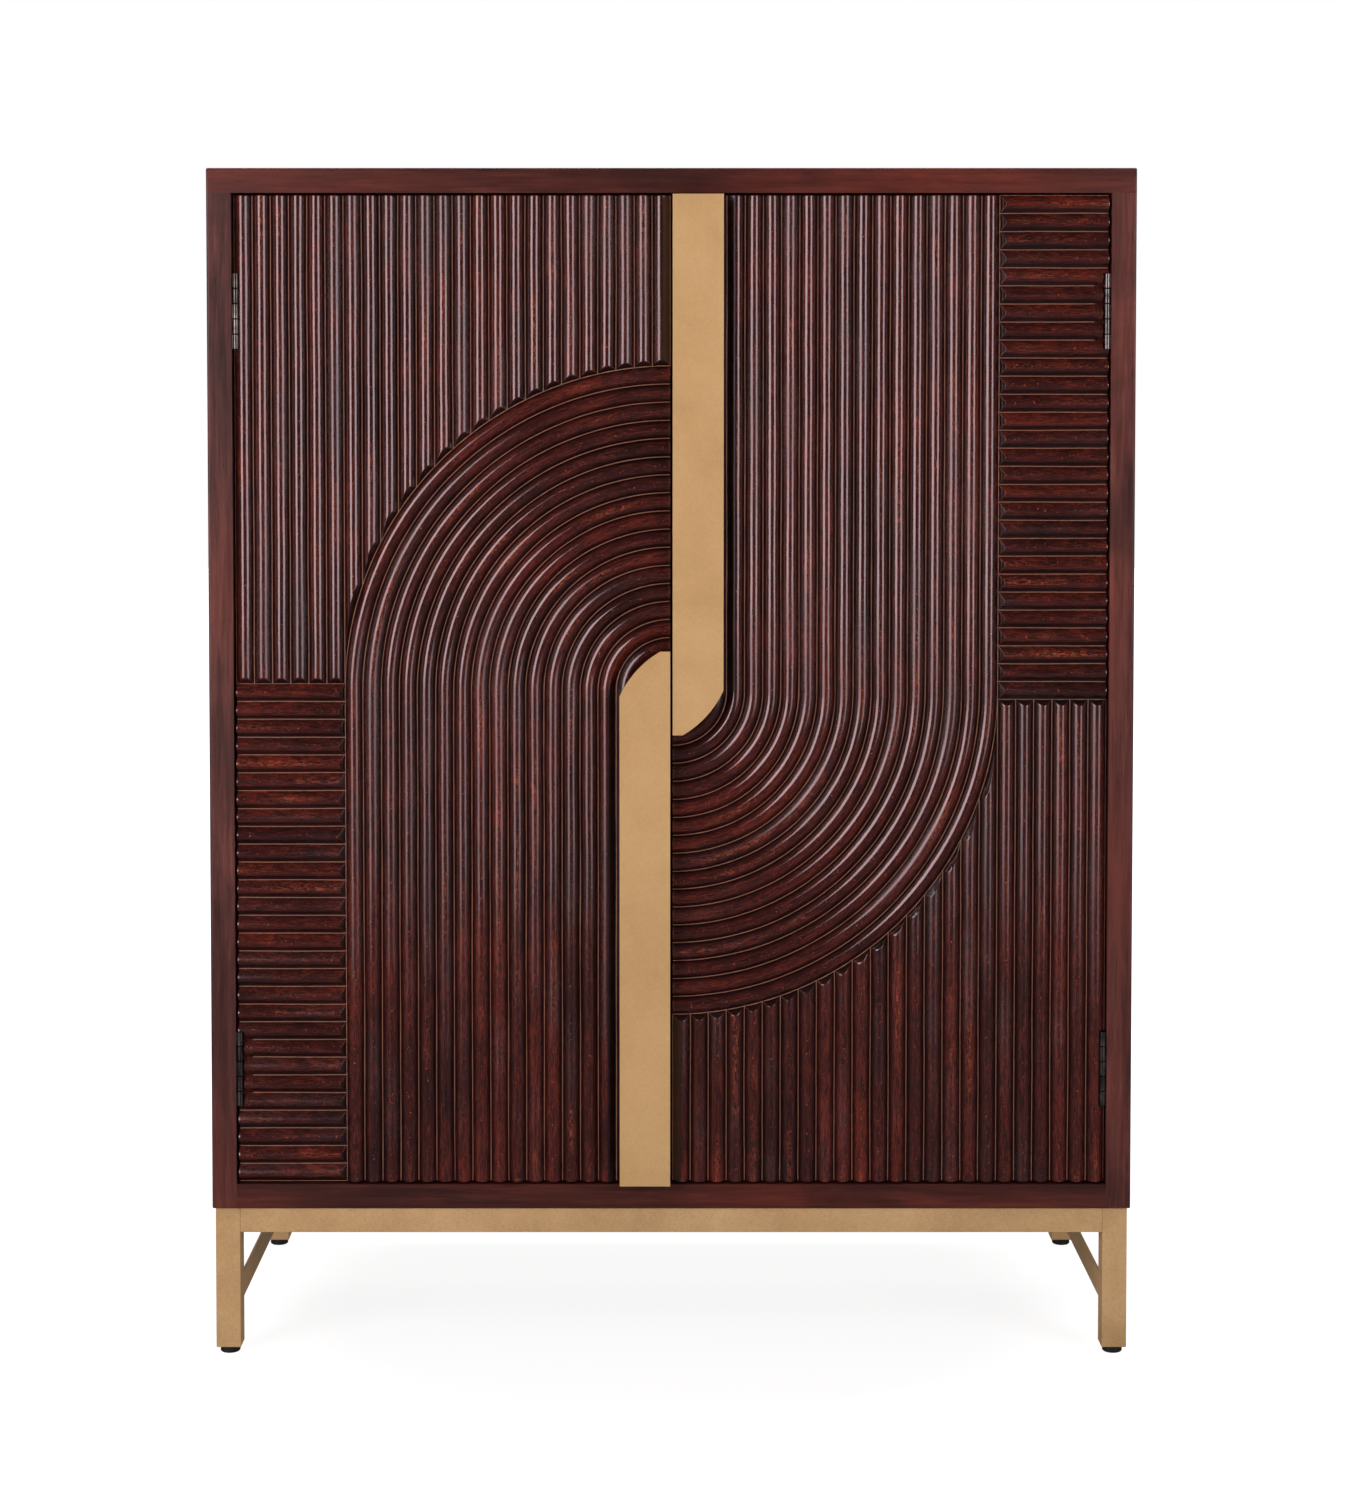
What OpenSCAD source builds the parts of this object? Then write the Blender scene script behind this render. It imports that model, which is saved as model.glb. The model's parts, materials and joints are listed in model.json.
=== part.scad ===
// Bar cabinet with two reeded doors on a metal base. Millimetres, +Z up, the doors face -Y.
// The origin lies on the floor, under the middle of the whole cabinet.

/* [Carcass] */
// Overall width of the cabinet
cabinet_w = 930; // [860:10:1100]
// Overall height from the floor to the top face
cabinet_h = 1200; // [1120:10:1400]
// Depth of the wooden carcass
carcass_d = 400; // [370:10:480]
// Thickness of the top, bottom and side panels
panel_t = 25; // [22:1:30]
// Thickness of the back panel
back_t = 6; // [4:1:8]
// How far the back panel reaches into the rabbets of the carcass
back_lap = 8; // [5:1:12]
// Radius of the eased outer edges of the carcass
edge_r = 2.5; // [1:0.5:4]

/* [Doors] */
// Thickness of a finished door
door_t = 24; // [22:1:28]
// Thickness of the carved layer on the door's core
carved_t = 9; // [8:0.5:11]
// Height of the carved ridges over the bottom of the grooves
relief = 6; // [3:0.5:7]
// Width of the flat bottom of a groove
groove_w = 1; // [0.5:0.1:2]
// Gap between a door and the carcass around it
door_gap = 2; // [1.8:0.1:3]
// Gap between the two doors
meeting_gap = 2; // [1.6:0.1:4]
// Ridges in the arch
arch_ridges = 16; // [8:1:18]
// Ridge widths between the meeting edge and the arch, where the pull's foot lies
pull_ridges = 2; // [2:1:3]
// Ridges in the width of the side field
side_ridges = 6; // [4:1:8]
// Level ridges in the height of the side field
side_rows = 28; // [16:1:32]
// How far the side field reaches past the middle of the door
side_rise = 8; // [0:1:30]

/* [Pulls] */
// Width of a pull's front plate
pull_w = 50; // [40:1:52]
// Thickness of the pull's folded metal
pull_t = 3; // [2:0.5:4]
// How far a pull stands out in front of the ridges
pull_proud = 15; // [12:1:20]
// How far a pull reaches past the middle of the door
pull_rise = 42; // [20:1:46]
// Radius of the curved end of a pull
pull_end_r = 100; // [80:5:160]
// Distance of a pull from the meeting edge of its door
pull_inset = 1; // [0.5:0.5:2]
// Radius of the pull's screws
pull_screw_r = 2; // [1.5:0.25:2.5]

/* [Hinges] */
// Height of a hinge
hinge_h = 76; // [60:2:90]
// Distance between the middles of a door's two hinges
hinge_spacing = 764; // [600:10:820]
// Outer radius of the knuckles
knuckle_r = 3.1; // [2.8:0.1:3.4]
// Radius of the hinge pin
pin_r = 1.5; // [1.2:0.1:1.8]
// Thickness of a hinge leaf
leaf_t = 1.5; // [1:0.1:1.6]
// Width of a leaf behind the pin's axis
leaf_w = 20; // [18:1:21]
// Distance from the door's edge in to the pin's axis
pin_inset = 2; // [1.8:0.1:2.4]
// Depth of the pin's axis behind the front plane
pin_depth = 2; // [1.8:0.1:2.4]
// Number of knuckles in a hinge
knuckles = 5; // [3:2:7]

/* [Base] */
// Height from the floor to the underside of the carcass
base_h = 150; // [120:5:220]
// Width of the square tube
tube_w = 25; // [22:1:35]
// Wall thickness of the square tube
tube_wall = 1.5; // [1:0.5:2.5]
// How far the base stands in from the carcass on each side
base_inset = 3; // [0:1:12]
// Height of a stretcher's lower edge above the floor
stretcher_z = 52; // [40:2:80]
// Height of a stretcher
stretcher_h = 25; // [15:1:35]
// Thickness of a stretcher
stretcher_t = 3; // [2:1:6]
// Radius of a levelling foot's pad
foot_r = 10; // [8:0.5:11]
// Height of a levelling foot's pad
foot_h = 7; // [5:0.5:10]
// Radius of a levelling foot's stud
stud_r = 4; // [3:0.5:5]
// How far a levelling foot can be screwed out
foot_travel = 8; // [4:1:10]

/* [Inside] */
// Thickness of the shelves
shelf_t = 20; // [16:1:24]
// Clear height under the middle shelf
lower_h = 385; // [340:5:420]
// Clear height between the middle shelf and the adjustable shelf
middle_h = 230; // [200:5:260]
// Gap between the adjustable shelf and the side panels
shelf_gap = 1; // [0.5:0.5:2]
// Radius of a shelf pin
shelf_pin_r = 2.5; // [2:0.5:3]
// Distance between the holes for the shelf pins
pin_pitch = 32; // [20:2:40]
// Holes above and below the hole in use
spare_holes = 2; // [0:1:2]
// Number of stemware rails
stem_rails = 5; // [3:1:6]
// Distance between stemware rails
stem_pitch = 100; // [90:5:110]
// Width of a stemware rail
stem_w = 70; // [60:1:75]
// Height of a stemware rail
stem_h = 24; // [18:1:30]
// Thickness of a stemware rail's flange and stem
stem_t = 8; // [6:1:10]
// Number of bottles that lie in the rack
bottles = 8; // [4:2:8]
// Radius of the hollows that carry the bottles
bottle_r = 42; // [36:1:44]
// Height of the bottle rack's boards
rack_h = 56; // [50:1:60]
// Thickness of the bottle rack's boards
rack_t = 18; // [15:1:20]

/* [Hidden] */
$fn = 96;
ring_fn = 240;

// Colours
wood_colour = [0.36, 0.19, 0.16];
carved_colour = [0.27, 0.12, 0.10];
inside_colour = [0.42, 0.24, 0.18];
gold_colour = [0.77, 0.60, 0.42];
bronze_colour = [0.25, 0.20, 0.17];
steel_colour = [0.62, 0.62, 0.60];
black_colour = [0.06, 0.06, 0.07];

// Places of the carcass
front_y = (pull_proud - carcass_d) / 2;
back_y = front_y + carcass_d;
half_w = cabinet_w / 2;
opening_w = cabinet_w - 2 * panel_t;
opening_low = base_h + panel_t;
opening_top = cabinet_h - panel_t;
opening_h = opening_top - opening_low;
inner_back_y = back_y - back_t;

// A door in its own frame: x from the meeting edge, y behind the front plane, z over its middle
door_w = (opening_w - 2 * door_gap - meeting_gap) / 2;
door_h = opening_h - 2 * door_gap;
door_z = (opening_low + opening_top) / 2;
ridge_count = pull_ridges + arch_ridges + side_ridges;
pitch = door_w / ridge_count;
pull_zone = pull_ridges * pitch;
arch_r = (pull_ridges + arch_ridges) * pitch;
side_h = door_h / 2 + side_rise;
row_pitch = side_h / side_rows;
pin_x = door_w - pin_inset;
knuckle_step = hinge_h / knuckles;
side_signs = [-1, 1];

// A pull's foot lies on the flat wood inside the arch, this far from the ridge around it
pull_foot_gap = 5;
pull_foot_r = pull_zone - pull_foot_gap;
pull_flange_w = pull_foot_r - pull_inset;

// The curved end of a pull starts a little under the middle of the door, this far round its arc
pull_end_drop = 3;
pull_end_angle = 24.5;

// Clearances
running_gap = 0.05;
knuckle_gap = 0.3;
hole_gap = 0.1;
notch_gap = 1.2;
past = 1;

// Fasteners
hinge_screw_r = 1.7;
hinge_screw_head_r = 3;
hinge_screw_l = 16;
hinge_screw_rows = 3;
hinge_screw_edge = 11;
board_screw_r = 2;
board_screw_head_r = 4;
back_screw_l = 16;
rack_screw_l = 40;
pull_screw_head_r = 4;
pull_screw_rows = 3;
pull_screw_edge = 50;
pull_screw_l = door_t - relief + pull_t + 2;
dowel_r = 4;
dowel_l = 36;
dowel_depth = 16;
dowel_rows = 3;
dowel_edge = 60;
screw_edge = 60;

// Catches under the top panel
catch_x = 80;
catch_w = 46;
catch_d = 15;
catch_h = 14;
catch_screw_x = 15;
strike_w = 36;
strike_h = 10;
strike_t = 1.2;
strike_gap = 0.3;
strike_screw_l = 10;

// Inside
middle_shelf_z = opening_low + lower_h;
adjustable_shelf_z = middle_shelf_z + shelf_t + middle_h;
shelf_front_gap = 4;
shelf_front_y = front_y + door_t + shelf_front_gap;
shelf_setback = 12;
pin_column = 50;
pin_hole_depth = 11;
pin_out = 8;
stem_front = 40;
rack_front = 70;
rack_rear = 210;

// Base
base_w = cabinet_w - 2 * base_inset;
base_d = carcass_d - 2 * base_inset;
base_front_y = front_y + base_inset;
base_back_y = base_front_y + base_d;
leg_h = base_h - foot_h;
stud_grip = 14;
insert_h = foot_travel + stud_grip;
insert_gap = 0.2;
foot_gap = 0.3;
stud_over = 3;
tab_l = 40;
tab_w = 22;
tab_t = 3;
tab_x = 220;
base_screw_l = 20;
foot_edge_r = 1;

// Shapes that repeat

module from_to(low, high) {
  translate(low) cube(high - low);
}

// A screw with a flat conical head, its head flush with z = 0 and its point towards -z
module screw(shank_r, head_r, len) {
  head_t = head_r - shank_r;
  point_h = shank_r * 1.5;
  translate([0, 0, -head_t]) cylinder(h = head_t, r1 = shank_r, r2 = head_r);
  translate([0, 0, point_h - len]) cylinder(h = len - head_t - point_h, r = shank_r);
  translate([0, 0, -len]) cylinder(h = point_h, r1 = shank_r / 3, r2 = shank_r);
}

// The hole for such a screw
module screw_hole(shank_r, head_r, len) {
  head_t = head_r - shank_r;
  gap = hole_gap;
  translate([0, 0, -head_t]) cylinder(h = head_t, r1 = shank_r + gap, r2 = head_r + gap);
  translate([0, 0, -len - past]) cylinder(h = len + past, r = shank_r + gap);
  cylinder(h = past, r = head_r + gap);
}

// The rounded block that the outside of the carcass follows
module rounded_rect(w, h, r) {
  union() {
    translate([-w / 2 + r, -h / 2]) square([w - 2 * r, h]);
    translate([-w / 2, -h / 2 + r]) square([w, h - 2 * r]);
    for (sx = side_signs, sy = side_signs)
      translate([sx * (w / 2 - r), sy * (h / 2 - r)]) circle(r);
  }
}

module carcass_block() {
  carcass_h = cabinet_h - base_h;
  translate([0, front_y + carcass_d / 2, base_h + carcass_h / 2]) intersection() {
    translate([0, 0, -carcass_h / 2]) linear_extrude(carcass_h) rounded_rect(cabinet_w, carcass_d, edge_r);
    rotate([90, 0, 0]) translate([0, 0, -carcass_d / 2])
      linear_extrude(carcass_d) rounded_rect(cabinet_w, carcass_h, edge_r);
    rotate([0, 90, 0]) translate([0, 0, -cabinet_w / 2])
      linear_extrude(cabinet_w) rounded_rect(carcass_h, carcass_d, edge_r);
  }
}

// Children in the left door's frame for side -1, and turned by half a turn for the right door
module at_door(side) {
  if (side < 0)
    translate([-meeting_gap / 2, front_y, door_z]) mirror([1, 0, 0]) children();
  else
    translate([meeting_gap / 2, front_y, door_z]) mirror([0, 0, 1]) children();
}

// A flat layer of a door between two depths, from its outline in x and z
module layer(depth, thick) {
  translate([0, depth + thick, 0]) rotate([90, 0, 0]) linear_extrude(thick) children();
}

// Section of a row of ridges with their backing: x across them, y behind their tops
module ridges(count, step) {
  half_ridge = (step - groove_w) / 2;
  bend_r = (half_ridge * half_ridge + relief * relief) / (2 * relief);
  union() {
    translate([0, relief]) square([count * step, carved_t - relief]);
    for (i = [0 : count - 1])
      intersection() {
        translate([(i + 0.5) * step, bend_r]) circle(bend_r);
        translate([i * step, -past]) square([step, past + relief + past / 2]);
      }
  }
}

// What cuts the ends of ridges off at 45 degrees, from the bottom of the grooves up to the ridge tops
module slope_section() {
  polygon([[-past, -past], [relief, -past], [relief, 0], [0, relief], [-past, relief]]);
}

// Carcass

function dowel_y(i) = front_y + dowel_edge + i * (carcass_d - 2 * dowel_edge) / (dowel_rows - 1);

module top_dowels(gap) {
  for (side = side_signs, i = [0 : dowel_rows - 1])
    translate([side * (half_w - panel_t / 2), dowel_y(i), opening_top - dowel_l + dowel_depth - gap])
      cylinder(h = dowel_l + 2 * gap, r = dowel_r + gap);
}

module level_dowels(z, gap) {
  for (side = side_signs, i = [0 : dowel_rows - 1])
    translate([side * (opening_w / 2 + dowel_depth + gap), dowel_y(i), z])
      rotate([0, -side * 90, 0]) cylinder(h = dowel_l + 2 * gap, r = dowel_r + gap);
}

module all_dowels(gap) {
  top_dowels(gap);
  level_dowels(base_h + panel_t / 2, gap);
  level_dowels(middle_shelf_z + shelf_t / 2, gap);
}

module carcass_dowels() {
  color(inside_colour) all_dowels(0);
}

module back_block(gap) {
  from_to([-opening_w / 2 - back_lap - gap, inner_back_y, opening_low - back_lap - gap],
    [opening_w / 2 + back_lap + gap, back_y + past, opening_top + back_lap + gap]);
}

module at_back_screws() {
  half_x = opening_w / 2 + back_lap / 2;
  half_z = opening_h / 2 + back_lap / 2;
  for (sx = side_signs, step = [-1, 0, 1])
    translate([sx * half_x, back_y, door_z + step * (half_z - screw_edge)]) rotate([-90, 0, 0]) children();
  for (sz = side_signs, step = [-1, 0, 1])
    translate([step * (half_x - screw_edge), back_y, door_z + sz * half_z]) rotate([-90, 0, 0]) children();
}

module back_screw_holes() {
  at_back_screws() screw_hole(hinge_screw_r, hinge_screw_head_r, back_screw_l);
}

module back_screws() {
  color(steel_colour) at_back_screws() screw(hinge_screw_r, hinge_screw_head_r, back_screw_l);
}

module at_catch_screws() {
  for (side = side_signs, step = side_signs)
    translate([side * catch_x + step * catch_screw_x, catch_y() + catch_d / 2, opening_top - catch_h])
      rotate([180, 0, 0]) children();
}

function catch_y() = front_y + door_t + strike_t + strike_gap;
catch_screw_l = catch_h + 12;

module top_panel() {
  color(wood_colour) difference() {
    intersection() {
      carcass_block();
      from_to([-cabinet_w, front_y - past, opening_top], [cabinet_w, back_y + past, cabinet_h + past]);
    }
    top_dowels(hole_gap);
    back_block(hole_gap);
    back_screw_holes();
    at_catch_screws() screw_hole(hinge_screw_r, hinge_screw_head_r, catch_screw_l);
    at_stem_screws() screw_hole(hinge_screw_r, hinge_screw_head_r, stem_screw_l);
  }
}

module at_tab_screws() {
  for (x = [-tab_x, 0, tab_x], y = [base_front_y + tube_w + tab_w / 2, base_back_y - tube_w - tab_w / 2])
    translate([x, y, base_h - tab_t]) rotate([180, 0, 0]) children();
}

module bottom_panel() {
  color(wood_colour) difference() {
    intersection() {
      carcass_block();
      from_to([-opening_w / 2, front_y - past, base_h - past], [opening_w / 2, back_y + past, opening_low]);
    }
    level_dowels(base_h + panel_t / 2, hole_gap);
    back_block(hole_gap);
    back_screw_holes();
    at_tab_screws() screw_hole(board_screw_r, board_screw_head_r, base_screw_l);
    at_rack_screws() screw_hole(board_screw_r, board_screw_head_r, rack_screw_l);
  }
}

module shelf_pin_holes(side) {
  for (y = shelf_pin_places(), i = [-spare_holes : spare_holes])
    translate([side * (opening_w / 2 + pin_hole_depth), y, adjustable_shelf_z - shelf_pin_r + i * pin_pitch])
      rotate([0, -side * 90, 0]) cylinder(h = pin_hole_depth + past, r = shelf_pin_r + hole_gap);
}

function shelf_pin_places() = [shelf_front_y + pin_column, inner_back_y - pin_column];

module side_panel(side) {
  inner_x = opening_w / 2;
  color(wood_colour) difference() {
    intersection() {
      carcass_block();
      from_to([side > 0 ? inner_x : -cabinet_w, front_y - past, base_h - past],
        [side > 0 ? cabinet_w : -inner_x, back_y + past, opening_top]);
    }
    all_dowels(hole_gap);
    back_block(hole_gap);
    back_screw_holes();
    shelf_pin_holes(side);
    at_door(side) at_hinges() at_leaf_screws() frame_screw_place()
      screw_hole(hinge_screw_r, hinge_screw_head_r, hinge_screw_l);
  }
}

module side_panel_left() {
  side_panel(-1);
}

module side_panel_right() {
  side_panel(1);
}

module back_panel() {
  color(inside_colour) difference() {
    intersection() {
      back_block(0);
      from_to([-cabinet_w, front_y, 0], [cabinet_w, back_y, cabinet_h]);
    }
    back_screw_holes();
  }
}

// Inside

module middle_shelf() {
  color(inside_colour) difference() {
    from_to([-opening_w / 2, shelf_front_y, middle_shelf_z],
      [opening_w / 2, inner_back_y, middle_shelf_z + shelf_t]);
    level_dowels(middle_shelf_z + shelf_t / 2, hole_gap);
  }
}

module adjustable_shelf() {
  half_shelf = opening_w / 2 - shelf_gap;
  color(inside_colour)
    from_to([-half_shelf, shelf_front_y + shelf_setback, adjustable_shelf_z],
      [half_shelf, inner_back_y - shelf_gap, adjustable_shelf_z + shelf_t]);
}

module shelf_pins() {
  color(steel_colour)
    for (side = side_signs, y = shelf_pin_places())
      translate([side * (opening_w / 2), y, adjustable_shelf_z - shelf_pin_r])
        rotate([0, -side * 90, 0]) translate([0, 0, past - pin_hole_depth])
          cylinder(h = pin_hole_depth - past + pin_out, r = shelf_pin_r);
}

function stem_x(i) = (i - (stem_rails - 1) / 2) * stem_pitch;
stem_y0 = front_y + door_t + stem_front;
stem_screw_l = stem_h + 12;

module at_stem_screws() {
  for (i = [0 : stem_rails - 1], y = [stem_y0 + screw_edge, inner_back_y - screw_edge])
    translate([stem_x(i), y, opening_top - stem_h]) rotate([180, 0, 0]) children();
}

module stemware_rails() {
  color(inside_colour)
    for (i = [0 : stem_rails - 1])
      difference() {
        union() {
          from_to([stem_x(i) - stem_w / 2, stem_y0, opening_top - stem_h],
            [stem_x(i) + stem_w / 2, inner_back_y, opening_top - stem_h + stem_t]);
          from_to([stem_x(i) - stem_t, stem_y0, opening_top - stem_h],
            [stem_x(i) + stem_t, inner_back_y, opening_top]);
        }
        at_stem_screws() screw_hole(hinge_screw_r, hinge_screw_head_r, stem_screw_l);
      }
}

function rack_y(row) = front_y + door_t + (row == 0 ? rack_front : rack_rear);
bottle_pitch = opening_w / bottles;

module at_rack_screws() {
  for (row = [0, 1], step = [-1, 0, 1])
    translate([step * bottle_pitch * floor((bottles - 1) / 2), rack_y(row) + rack_t / 2, base_h])
      rotate([180, 0, 0]) children();
}

module bottle_rack(row) {
  color(inside_colour) difference() {
    from_to([-opening_w / 2, rack_y(row), opening_low],
      [opening_w / 2, rack_y(row) + rack_t, opening_low + rack_h]);
    for (i = [0 : bottles - 1])
      translate([(i - (bottles - 1) / 2) * bottle_pitch, rack_y(row) - past, opening_low + rack_h])
        rotate([-90, 0, 0]) cylinder(h = rack_t + 2 * past, r = bottle_r);
    at_rack_screws() screw_hole(board_screw_r, board_screw_head_r, rack_screw_l);
  }
}

module bottle_rack_front() {
  bottle_rack(0);
}

module bottle_rack_rear() {
  bottle_rack(1);
}

module rack_screws() {
  color(steel_colour) at_rack_screws() screw(board_screw_r, board_screw_head_r, rack_screw_l);
}

module catches() {
  color(black_colour) difference() {
    for (side = side_signs)
      from_to([side * catch_x - catch_w / 2, catch_y(), opening_top - catch_h],
        [side * catch_x + catch_w / 2, catch_y() + catch_d, opening_top]);
    at_catch_screws() screw_hole(hinge_screw_r, hinge_screw_head_r, catch_screw_l);
  }
}

module top_screws() {
  color(steel_colour) {
    at_catch_screws() screw(hinge_screw_r, hinge_screw_head_r, catch_screw_l);
    at_stem_screws() screw(hinge_screw_r, hinge_screw_head_r, stem_screw_l);
  }
}

// Base

function leg_x(side) = side * (base_w / 2 - tube_w / 2);
function leg_y(row) = row < 0 ? base_front_y + tube_w / 2 : base_back_y - tube_w / 2;

module tube(len) {
  linear_extrude(len) difference() {
    square(tube_w, center = true);
    square(tube_w - 2 * tube_wall, center = true);
  }
}

module leg(side, row) {
  color(gold_colour) translate([leg_x(side), leg_y(row), foot_h]) tube(leg_h);
}

module leg_front_left() {
  leg(-1, -1);
}

module leg_front_right() {
  leg(1, -1);
}

module leg_rear_left() {
  leg(-1, 1);
}

module leg_rear_right() {
  leg(1, 1);
}

module cross_rail(row) {
  color(gold_colour) translate([-base_w / 2 + tube_w, leg_y(row), base_h - tube_w / 2])
    rotate([0, 90, 0]) tube(base_w - 2 * tube_w);
}

module end_rail(side) {
  color(gold_colour) translate([leg_x(side), base_front_y + tube_w, base_h - tube_w / 2])
    rotate([-90, 0, 0]) tube(base_d - 2 * tube_w);
}

module rail_front() {
  cross_rail(-1);
}

module rail_rear() {
  cross_rail(1);
}

module rail_left() {
  end_rail(-1);
}

module rail_right() {
  end_rail(1);
}

module stretcher(side) {
  inner_x = base_w / 2 - tube_w;
  color(gold_colour)
    from_to([side > 0 ? inner_x : -inner_x - stretcher_t, base_front_y + tube_w, stretcher_z],
      [side > 0 ? inner_x + stretcher_t : -inner_x, base_back_y - tube_w, stretcher_z + stretcher_h]);
}

module stretcher_left() {
  stretcher(-1);
}

module stretcher_right() {
  stretcher(1);
}

module base_tabs() {
  color(gold_colour) difference() {
    for (x = [-tab_x, 0, tab_x]) {
      from_to([x - tab_l / 2, base_front_y + tube_w, base_h - tab_t],
        [x + tab_l / 2, base_front_y + tube_w + tab_w, base_h]);
      from_to([x - tab_l / 2, base_back_y - tube_w - tab_w, base_h - tab_t],
        [x + tab_l / 2, base_back_y - tube_w, base_h]);
    }
    at_tab_screws() screw_hole(board_screw_r, board_screw_head_r, base_screw_l);
  }
}

module base_screws() {
  color(steel_colour) at_tab_screws() screw(board_screw_r, board_screw_head_r, base_screw_l);
}

module leg_inserts() {
  insert_w = tube_w - 2 * tube_wall - insert_gap;
  color(black_colour)
    for (side = side_signs, row = side_signs)
      translate([leg_x(side), leg_y(row), foot_h]) linear_extrude(insert_h) difference() {
        square(insert_w, center = true);
        circle(stud_r + running_gap);
      }
}

module foot(side, row) {
  color(black_colour) translate([leg_x(side), leg_y(row), 0]) {
    cylinder(h = foot_edge_r, r1 = foot_r - foot_edge_r, r2 = foot_r);
    translate([0, 0, foot_edge_r]) cylinder(h = foot_h - foot_gap - foot_edge_r, r = foot_r);
    translate([0, 0, foot_h - foot_gap]) cylinder(h = foot_gap + insert_h + stud_over, r = stud_r);
  }
}

module foot_front_left() {
  foot(-1, -1);
}

module foot_front_right() {
  foot(1, -1);
}

module foot_rear_left() {
  foot(-1, 1);
}

module foot_rear_right() {
  foot(1, 1);
}

// Hinges, in the door's frame

module at_hinges() {
  for (side = side_signs) translate([0, 0, side * hinge_spacing / 2]) children();
}

module at_leaf_screws() {
  for (i = [0 : hinge_screw_rows - 1])
    translate([0, pin_depth + leaf_w / 2 + knuckle_r, (i - (hinge_screw_rows - 1) / 2)
      * (hinge_h - 2 * hinge_screw_edge) / (hinge_screw_rows - 1)]) children();
}

module frame_screw_place() {
  translate([door_w + door_gap - leaf_t, 0, 0]) rotate([0, -90, 0]) children();
}

module door_screw_place() {
  translate([door_w, 0, 0]) rotate([0, 90, 0]) children();
}

// Knuckles, first = 0 for the frame leaf and 1 for the door leaf
module hinge_barrel(first, r, gap) {
  for (i = [first : 2 : knuckles - 1])
    translate([pin_x, pin_depth, -hinge_h / 2 + i * knuckle_step - gap])
      cylinder(h = knuckle_step + 2 * gap, r = r);
}

module hinge_leaf(first, x_low, depth_low) {
  difference() {
    union() {
      difference() {
        from_to([x_low, depth_low, -hinge_h / 2], [x_low + leaf_t, pin_depth + leaf_w, hinge_h / 2]);
        hinge_barrel(1 - first, knuckle_r + knuckle_gap, knuckle_gap / 2);
      }
      hinge_barrel(first, knuckle_r, -knuckle_gap / 2);
    }
    translate([pin_x, pin_depth, -hinge_h / 2 - past])
      cylinder(h = hinge_h + 2 * past, r = pin_r + running_gap);
  }
}

module hinge_frame_leaves() {
  color(bronze_colour)
    for (side = side_signs) at_door(side) at_hinges() difference() {
      hinge_leaf(0, door_w + door_gap - leaf_t, pin_depth - 1);
      at_leaf_screws() frame_screw_place() screw_hole(hinge_screw_r, hinge_screw_head_r, hinge_screw_l);
    }
}

module hinge_pins() {
  color(bronze_colour)
    for (side = side_signs) at_door(side) at_hinges()
      translate([pin_x, pin_depth, -hinge_h / 2]) cylinder(h = hinge_h, r = pin_r);
}

module hinge_frame_screws() {
  color(bronze_colour)
    for (side = side_signs) at_door(side) at_hinges() at_leaf_screws() frame_screw_place()
      screw(hinge_screw_r, hinge_screw_head_r, hinge_screw_l);
}

module hinge_door_leaves() {
  at_hinges() difference() {
    hinge_leaf(1, door_w - leaf_t, pin_depth);
    at_leaf_screws() door_screw_place() screw_hole(hinge_screw_r, hinge_screw_head_r, hinge_screw_l);
  }
}

// What a door's pieces leave free for its hinges
module hinge_room() {
  notch_r = knuckle_r + notch_gap;
  at_hinges() {
    translate([pin_x, pin_depth, -hinge_h / 2 - hole_gap]) cylinder(h = hinge_h + 2 * hole_gap, r = notch_r);
    from_to([door_w - leaf_t, pin_depth, -hinge_h / 2], [door_w + past, pin_depth + leaf_w, hinge_h / 2]);
    at_leaf_screws() door_screw_place() screw_hole(hinge_screw_r, hinge_screw_head_r, hinge_screw_l);
  }
}

// Doors, in the door's frame

module at_pull_screws() {
  low_z = pull_screw_edge - door_h / 2;
  high_z = pull_rise - pull_screw_edge - pull_end_drop;
  for (i = [0 : pull_screw_rows - 1])
    translate([pull_inset + pull_flange_w / 2, door_t, low_z + i * (high_z - low_z) / (pull_screw_rows - 1)])
      rotate([-90, 0, 0]) children();
}

module pull_screw_holes() {
  at_pull_screws() screw_hole(pull_screw_r, pull_screw_head_r, pull_screw_l);
}

strike_z = (opening_top - catch_h / 2) - door_z;

// The strike lies behind the top edge of the door, which is z low in the turned right door
module at_strike(side) {
  translate([catch_x - meeting_gap / 2, door_t, -side * strike_z]) children();
}

module strike_screw_hole(side) {
  at_strike(side) translate([0, strike_t, 0]) rotate([-90, 0, 0])
    screw_hole(hinge_screw_r, hinge_screw_head_r, strike_screw_l);
}

module door_core(side) {
  color(wood_colour) at_door(side) difference() {
    from_to([0, carved_t, -door_h / 2], [door_w, door_t, door_h / 2]);
    hinge_room();
    pull_screw_holes();
    strike_screw_hole(side);
  }
}

// Quarter rings over the middle of the door, upright ridges under it, flat wood under the pull's foot
module arch_ridge_field(side) {
  color(carved_colour) at_door(side) difference() {
    union() {
      translate([pull_zone, 0, -door_h / 2]) linear_extrude(door_h / 2) ridges(arch_ridges, pitch);
      rotate([-90, 0, 0]) rotate([0, 0, -90]) rotate_extrude(angle = 90, $fn = ring_fn)
        translate([pull_zone, 0]) ridges(arch_ridges, pitch);
      from_to([0, relief, -door_h / 2], [pull_zone, carved_t, 0]);
      layer(relief, carved_t - relief) intersection() {
        circle(pull_zone);
        square(pull_zone);
      }
    }
    pull_screw_holes();
  }
}

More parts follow.
